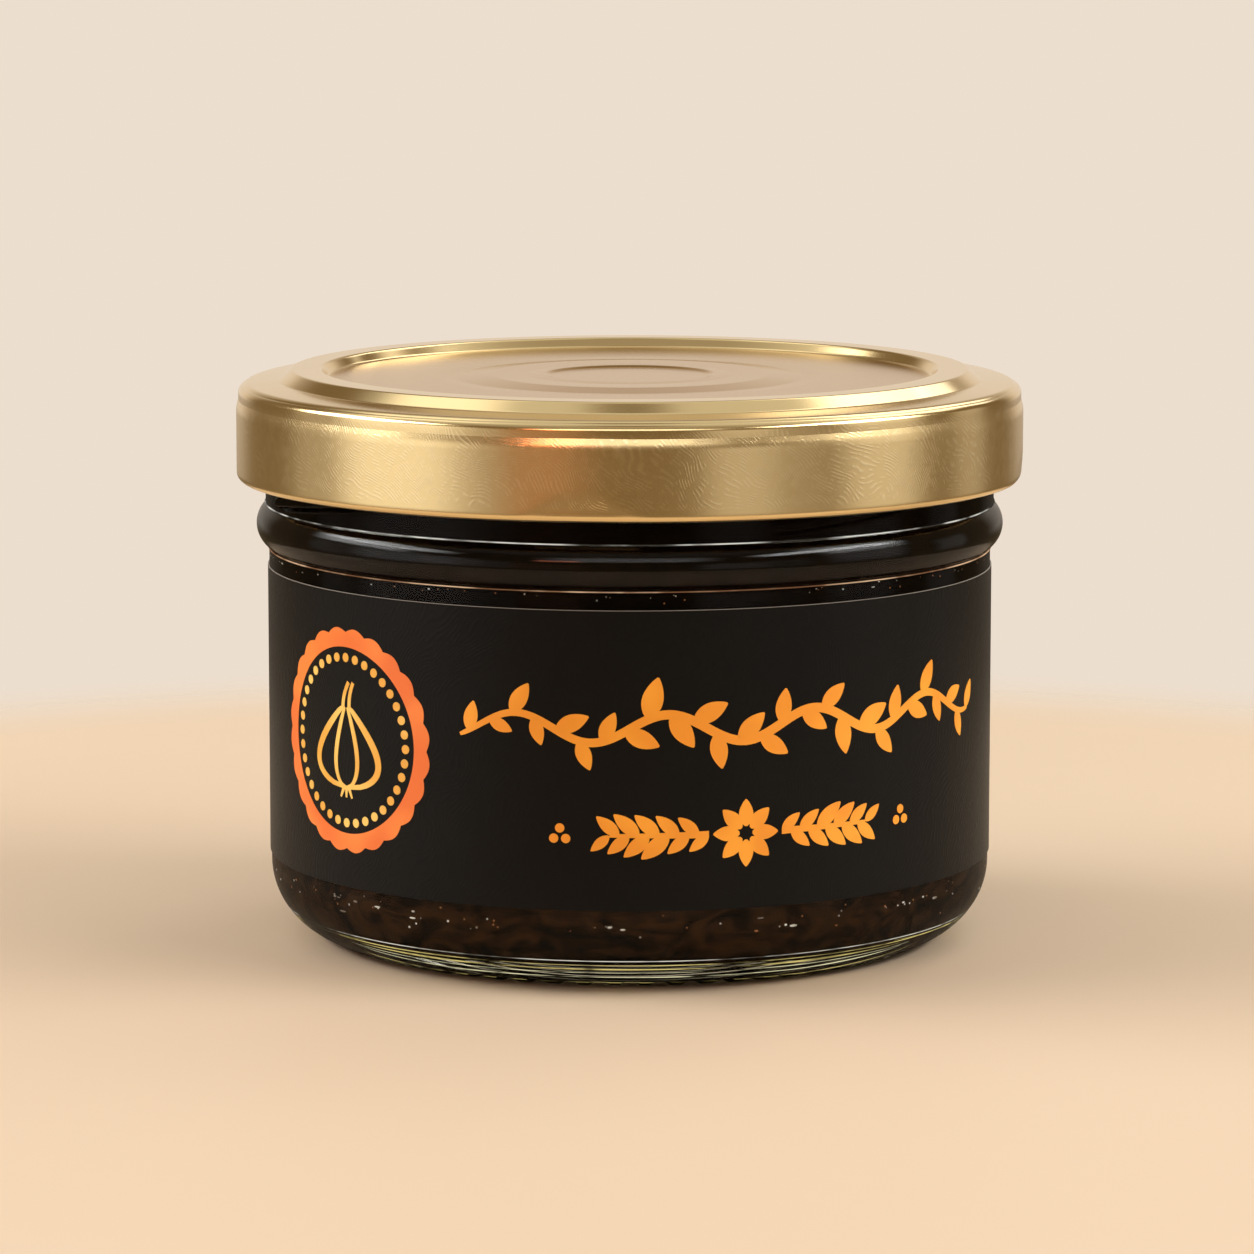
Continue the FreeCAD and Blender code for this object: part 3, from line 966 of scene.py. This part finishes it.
def badge(orange, gold_ink, rings):
    """A scalloped ring round a ring of beads, with a garlic bulb in the middle."""
    scallops = 24
    rails = ([], [])
    for k in range(scallops * 10):
        angle = TURN * k / (scallops * 10)
        edge = BADGE_RADIUS - 0.4 * MM * (1 - abs(math.sin(scallops * angle / 2)))
        for rail, radius in zip(rails, (edge, BADGE_RADIUS - 1.75 * MM)):
            rail.append((BADGE_ACROSS + radius * math.cos(angle), radius * math.sin(angle)))
    builder = ([], [])
    band(builder, *rails, closed=True)
    printed("print_badge_ring", built("badge_ring", builder), orange)

    beads = grown("badge_beads", dot(0.42 * MM, 12), rings, material=gold_ink,
                  count=36, radius=BADGE_RADIUS - 2.7 * MM, across=BADGE_ACROSS)
    printed("print_badge_beads", beads, gold_ink)

    printed("print_badge_bulb", garlic_bulb(), gold_ink)


def garlic_bulb():
    """A garlic bulb drawn in a few strokes: its cloves are like slices of a globe."""
    builder = ([], [])
    foot = -4.3 * MM
    neck = 3.0 * MM
    half = 4.3 * MM
    for share, thick in ((-1, 0.75), (-0.36, 0.55), (0.36, 0.55), (1, 0.75)):
        def clove(climb):
            swell = math.sin(math.pi * climb ** 0.62) ** 0.85 * (1 - 0.12 * climb)
            across = share * (half * swell + 0.45 * MM * climb)
            return BADGE_ACROSS + across, foot + (neck - foot) * climb
        stroke(builder, 28, clove, lambda climb: (
            thick * MM * (0.45 + 0.55 * math.sin(math.pi * climb) ** 0.5)))
    for share in (-1, 1):
        def leaf_end(climb):
            bend = share * 0.45 * MM * (1 - 0.3 * climb) + 0.7 * MM * climb ** 2
            return BADGE_ACROSS + bend, neck + 2.3 * MM * climb
        stroke(builder, 8, leaf_end, lambda climb: 0.42 * MM)
    for share in (-1, 0, 1):
        def root(drop):
            return BADGE_ACROSS + share * (0.35 + 0.45 * drop) * MM, foot - 0.9 * MM * drop
        stroke(builder, 4, root, lambda drop: (0.42 - 0.2 * drop) * MM)
    return built("garlic_bulb", builder)


def vine(orange, rows):
    """A long wavy stem with leaves on either side."""
    start = -15.5 * MM
    end = 38.5 * MM
    height = 2.9 * MM
    wave = 1.25 * MM
    period = 13.6 * MM
    builder = ([], [])

    def stem(share):
        across = start + (end - start) * share
        return across, height + wave * math.sin(TURN * across / period)

    stroke(builder, 140, stem, lambda share: (0.3 + 0.55 * math.sin(math.pi * share) ** 0.4) * MM)
    printed("print_vine_stem", built("vine_stem", builder), orange)
    leaves = grown(
        "vine_leaves", leaf(3.6 * MM, 1.75 * MM), rows, material=orange, count=27,
        start=start + 0.8 * MM, end=end - 0.4 * MM, height=height, wave=wave, period=period,
        lean=math.radians(52), spread=0.16, seed=4)
    printed("print_vine_leaves", leaves, orange)


def sprigs(orange, rows, rings):
    """Two sprigs that spread from a blossom, with three dots at each end."""
    middle = 10.4 * MM
    height = -6.6 * MM
    petals = grown("petals", leaf(2.5 * MM, 1.35 * MM), rings, material=orange,
                   count=8, radius=0.55 * MM, across=middle, height=height)
    printed("print_blossom", petals, orange)
    for name, side in (("left", -1), ("right", 1)):
        builder = ([], [])
        first = middle + side * 3.4 * MM
        last = middle + side * 12.2 * MM
        stroke(builder, 30, lambda share: (first + (last - first) * share, height),
               lambda share: (0.65 - 0.35 * share) * MM)
        printed("print_sprig_stem_" + name, built("sprig", builder), orange)
        leaves = grown(
            "sprig_leaves", leaf(3.1 * MM, 1.35 * MM), rows, material=orange, count=11,
            start=first, end=last, height=height, period=1.0, lean=math.radians(40),
            spread=0.08, seed=7)
        printed("print_sprig_leaves_" + name, leaves, orange)
        dots = grown("sprig_dots", dot(0.42 * MM), rings, material=orange, count=3,
                     radius=0.62 * MM, across=middle + side * 16.6 * MM, height=height,
                     turn=math.radians(90))
        printed("print_dots_" + name, dots, orange)


def label_print():
    orange = ink("orange_ink", colour(240, 150, 36), colour(252, 166, 46))
    badge_orange = ink("badge_ink", colour(234, 112, 38), colour(246, 134, 52))
    gold_ink = ink("gold_ink", colour(236, 172, 64), colour(250, 204, 104))
    rows = row_tree()
    rings = ring_tree()
    badge(badge_orange, gold_ink, rings)
    vine(orange, rows)
    sprigs(orange, rows, rings)


# ---- the jam ----

def jam(material):
    """The jam reaches just into the glass wall. A film of air under it mirrors in the base."""
    into_glass = 0.04 * MM
    radius = BORE + into_glass
    floor = INSIDE_FLOOR - into_glass
    film = 0.12 * MM
    film_edge = radius - FLOOR_ROUND - 0.6 * MM
    outline = softened([
        (0, floor + film, 0),
        (film_edge, floor + film, 0),
        (film_edge + film, floor, 0),
        (radius, floor, FLOOR_ROUND + into_glass),
        (radius, JAM_LEVEL, 0.6 * MM),
        (0, JAM_LEVEL, 0),
    ])
    mesh = turned_mesh("jam_fill", outline, 256)
    dressed("jam_fill", mesh, material, "jam")


# ---- painted threads of light in the glass ----

GLINT_CORNERS = 6               # corners of a thread's section
GLINT_SETS = 3                  # sets of threads round the heavy base
GLINT_DEPTH = 0.12 * MM         # how far under the heel's surface they lie


def glint(name, dim, bright):
    """A painted glint: a glowing finish that stands for light gathering in a fold of the glass,
    brighter and dimmer by turns.
    """
    material, tree, shader = new_material(
        name, Base_Color=(0, 0, 0, 1), Roughness=0.4, Specular_IOR_Level=0.0,
        Emission_Strength=0.9)
    place = tree.place()
    long_runs = tree.noise(place, 9 * MM, detail=1.0)
    short_runs = tree.noise(place, 2.2 * MM, detail=2.0)
    share = tree.smooth(long_runs * 0.6 + short_runs * 0.4, 0.4, 0.6)
    tree.fill(shader, {"Emission Color": tree.blend(share, dim, bright)})
    return material


def glint_mesh(name, path, widths, closed=False):
    """A fine thread along a path round the jar's axis, with its own half width at each point."""
    rings = []
    for point, width in zip(path, widths):
        outwards = Vector((point.x, point.y, 0)).normalized()
        turns = [TURN * k / GLINT_CORNERS for k in range(GLINT_CORNERS)]
        rings.append([point + (outwards * math.cos(turn) + Vector((0, 0, math.sin(turn)))) * width
                      for turn in turns])
    builder = ([], [])
    add_shell(builder, rings, closed)
    return built(name, builder)


def heel_place(lean):
    """The radius and height of a place just inside the heel. The lean is 0 at its top."""
    depth = HEEL_ROUND - GLINT_DEPTH
    radius = BODY - HEEL_ROUND + depth * math.cos(lean)
    return radius, HEEL_ROUND + depth * math.sin(lean)


def glints():
    """Painted glints: glowing threads for the fine lines of light in the creases of the bead and in
    the heavy base.
    """
    # painted glints: each thread glows in its own colour, though it is no lamp
    silver = glint("silver_glint", colour(58, 54, 48), colour(236, 232, 222))
    warm = glint("warm_glint", colour(120, 82, 56), colour(232, 190, 150))
    pale = glint("pale_glint", colour(26, 24, 10), colour(244, 238, 196))
    straw = glint("straw_glint", colour(40, 34, 8), colour(226, 206, 128))
    bead = bead_outline()
    # name, finish, radius, height and half width of each thread that goes right round
    rings = (
        ("crease_glint", silver, NECK + 0.04 * MM, bead[-1][1] - 0.02 * MM, 0.06 * MM),
        ("foot_glint", warm, BODY + 0.04 * MM, bead[0][1] + 0.02 * MM, 0.055 * MM),
        ("heel_glint", silver, *heel_place(math.radians(-33.5)), 0.05 * MM),
    )
    steps = 256
    for name, finish, radius, up, width in rings:
        path = [round_point(radius, TURN * k / steps, up) for k in range(steps)]
        dressed(name, glint_mesh(name, path, [width] * steps, closed=True), finish)

    # the lean at its middle and at its ends in degrees, the half width in millimetres, the finish
    # and the reach to either side in degrees of each thread in the base
    folds = (
        (-38.0, -35.5, 0.05, straw, 72), (-42.5, -40.0, 0.085, straw, 50),
        (-47.0, -42.0, 0.035, pale, 53), (-53.5, -44.0, 0.075, pale, 51),
        (-65.0, -48.0, 0.07, straw, 55),
    )
    steps = 96
    thinnest = 0.012
    for fan in range(GLINT_SETS):
        for number, (middle, end, width, finish, span) in enumerate(folds):
            path = []
            widths = []
            for k in range(steps + 1):
                share = 2 * k / steps - 1
                swell = math.cos(share * math.pi / 2)
                lean = math.radians(end + (middle - end) * min(1, swell * 1.6) ** 0.7)
                angle = TURN * fan / GLINT_SETS + math.radians(span) * share
                radius, up = heel_place(lean)
                path.append(round_point(radius, angle, up))
                thick = 0.5 + 0.7 * abs(share) + 0.3 * math.sin(share * 9.0 + number * 2.1)
                widths.append((width * min(1, swell * 2.2) * thick + thinnest) * MM)
            name = f"base_glint_{fan}_{number}"
            dressed(name, glint_mesh(name, path, widths), finish)


# ---- bubbles and specks ----

def bubbles_and_specks():
    """Tiny bubbles and garlic specks where the jam touches the glass, clear of the label."""
    glinting_bubble = bubble_glint()
    speck = garlic_speck()
    # name, finish, count, lowest and highest place and smallest and largest size in millimetres,
    # how much longer the longest is, and seed
    bands = (
        ("low_bubbles", glinting_bubble, 96, 4.9, 7.3, 0.04, 0.1, 6.0, 3),
        ("high_bubbles", glinting_bubble, 60, 34.9, 36.3, 0.03, 0.07, 4.0, 11),
        ("low_specks", speck, 60, 4.8, 7.5, 0.04, 0.08, 1.5, 23),
        ("high_specks", speck, 50, 34.8, 36.5, 0.03, 0.07, 1.0, 37),
    )
    tree = scatter_tree()
    for name, finish, count, low, high, smallest, largest, longest, seed in bands:
        work = bmesh.new()
        bmesh.ops.create_icosphere(work, subdivisions=2, radius=1.0)
        ball = bpy.data.meshes.new(name)
        work.to_mesh(ball)
        work.free()
        mesh = grown(
            name, ball, tree, material=finish, count=count, radius=BORE + 0.06 * MM,
            round=FLOOR_ROUND, floor=INSIDE_FLOOR, low=low * MM, high=high * MM,
            smallest=smallest * MM, largest=largest * MM, longest=longest, seed=seed)
        dressed(name, mesh)


# ---- stage, lights and camera ----

FLOOR_COLOUR = colour(212, 189, 162)
FLOOR_RADIUS = 165 * MM
FLOOR_FADE = 125 * MM
BACKGROUND_COLOUR = colour(236, 222, 206)
ROOM_COLOUR = (0.21, 0.15, 0.08, 1.0)
CANOPY_COLOUR = (0.75, 0.73, 0.68, 1.0)
SLAT_PITCH = 0.085
BEHIND_SHARE = 0.2
BESIDE_SHARE = 0.5


def stage():
    """A plain pale round floor that fades out where the background begins."""
    material, tree, shader = new_material("pale_floor", Roughness=0.6, Specular_IOR_Level=0.3)
    tree.fill(shader, {"Base Color": FLOOR_COLOUR})
    across, along, _ = tree.parts(tree.place())
    radius = tree.length(across, along)
    fade = tree.smooth(radius, FLOOR_FADE, FLOOR_RADIUS)
    clear = tree.node("ShaderNodeBsdfTransparent")
    tree.finish(tree.mixed(fade, Value(tree, shader.outputs[0]), clear))
    mesh = turned_mesh("floor", [(0, 0), (FLOOR_RADIUS, 0)], 96)
    mesh.materials.append(material)
    new_object("floor", mesh)


def studio_air():
    """The pale background behind the jar, and the dim room round it under a white canopy."""
    world = bpy.data.worlds.new("studio")
    bpy.context.scene.world = world
    world.use_nodes = True
    tree = Tree(world.node_tree)
    across, back, up = tree.parts(tree.node("ShaderNodeTexCoord", output="Generated"))
    camera_ray, glossy_ray, clear_ray = (
        tree.node("ShaderNodeLightPath", output=f"Is {kind} Ray")
        for kind in ("Camera", "Glossy", "Transmission"))
    # what is polished mirrors the pale background from behind the jar, less from higher up
    mirrored = tree.smooth(back, 0.78, 0.93) * tree.smooth(up, -0.18, -0.04)
    mirrored = mirrored * (1 - tree.smooth(up, 0.17, 0.32) * 0.5)
    # through the glass it shows in slats behind the jar, and plainly at either side
    slats = tree.smooth(tree.cosine(up * (TURN / SLAT_PITCH)), 0.0, 0.7)
    behind = tree.smooth(back, 0.55, 0.9) * tree.smooth(up, 0.12, 0.18) * slats
    beside = tree.smooth(tree.maths("ABSOLUTE", across), 0.3, 0.8)
    through = behind * BEHIND_SHARE + beside * BESIDE_SHARE
    seen = camera_ray + glossy_ray * mirrored + clear_ray * through
    canopy = tree.smooth(up, 0.58, 0.76) * (1 - tree.smooth(up, 0.982, 0.997))
    canopy = canopy * (0.4 + tree.smooth(back, -0.35, 0.1) * 0.6)
    surroundings = tree.blend(canopy, ROOM_COLOUR, CANOPY_COLOUR)
    pale = tree.node("ShaderNodeBackground", {"Color": BACKGROUND_COLOUR, "Strength": 1.0})
    room = tree.node("ShaderNodeBackground", {"Color": surroundings, "Strength": 1.0})
    tree.finish(tree.mixed(tree.smaller(seen, 1.0), room, pale))


# name, angle round the jar and upwards in degrees, width, height, radiance, and tint if not white
LAMPS = (
    ("left_softbox", -70, 3, 1.1, 0.7, 1.12),
    ("left_glow", -25, -2, 0.55, 0.5, 0.27, (1.0, 0.45, 0.3)),
    ("front_strip", 31, -2, 0.5, 0.5, 0.5),
    ("right_softbox", 77, 8, 0.7, 0.9, 0.75),
    ("right_edge", 115, 2, 0.4, 0.6, 0.35),
    ("right_high", 80, 33, 0.7, 0.6, 4.8),
    ("left_high", -105, 34, 0.6, 0.5, 2.0),
    ("back_right", 138, 46, 0.7, 0.6, 2.0),
    ("back_left", -128, 58, 0.45, 0.5, 0.8),
    ("front_fill", 0, 28, 1.1, 0.4, 2.0),
    ("left_shoulder", -94, 26, 0.9, 0.34, 6.0),
    ("warm_glow", -22, 20, 0.3, 0.16, 7.0, (1.0, 0.28, 0.14)),
    ("left_strip", -90, 34, 1.2, 0.26, 9.0),
    ("right_strip", 70, 34, 1.1, 0.2, 13.0),
    ("left_tail", -104, 3, 0.4, 0.7, 0.28),
    ("left_inner", -42, 0, 0.3, 0.6, 0.28),
    ("right_inner", 48, 0, 0.4, 0.6, 0.2),
    ("back_right_low", 148, 30, 0.3, 0.3, 1.8),
)
LAMP_DISTANCE = 1.0
LAMP_RIM = 0.3                  # share of a lamp's side over which it fades


def softbox(name, azimuth, elevation, width, height, radiance, tint=(1, 1, 1)):
    """A rectangular soft light, a metre from the jar and facing it, that fades at its rim."""
    lamp = bpy.data.lights.new(name, "AREA")
    lamp.shape = "RECTANGLE"
    lamp.size = width
    lamp.size_y = height
    lamp.energy = radiance * math.pi * width * height
    lamp.color = tint
    lamp.use_nodes = True
    tree = Tree(lamp.node_tree)
    over = tree.node("ShaderNodeNewGeometry", output="Parametric")
    fades = [tree.smooth(tree.smaller(share, 1 - share), 0.0, LAMP_RIM)
             for share in tree.parts(over)[:2]]
    tree.fill(lamp.node_tree.nodes["Emission"], {"Strength": fades[0] * fades[1]})
    holder = new_object(name, lamp)
    lift = math.radians(elevation)
    direction = round_point(math.cos(lift), math.radians(azimuth), math.sin(lift))
    holder.location = Vector((0, 0, CREST / 2)) + direction * LAMP_DISTANCE
    holder.rotation_euler = direction.to_track_quat("Z", "Y").to_euler()


def lights():
    for lamp in LAMPS:
        softbox(*lamp)


CAMERA_LENS = 165.95
CAMERA_PLACE = (-0.00025, -0.5331, 0.10575)
CAMERA_TILT = math.radians(81.74)


def camera():
    view = bpy.data.cameras.new("camera")
    view.sensor_width = 36
    view.lens = CAMERA_LENS
    holder = new_object("camera", view)
    holder.location = CAMERA_PLACE
    holder.rotation_euler = (CAMERA_TILT, 0, 0)
    bpy.context.scene.camera = holder


glass_jar(clear_glass())
lid(gold_lacquer())
label(label_paper())
label_print()
jam(black_garlic_jam())
bubbles_and_specks()
glints()
stage()
studio_air()
lights()
camera()
bpy.context.scene.view_settings.view_transform = "Standard"
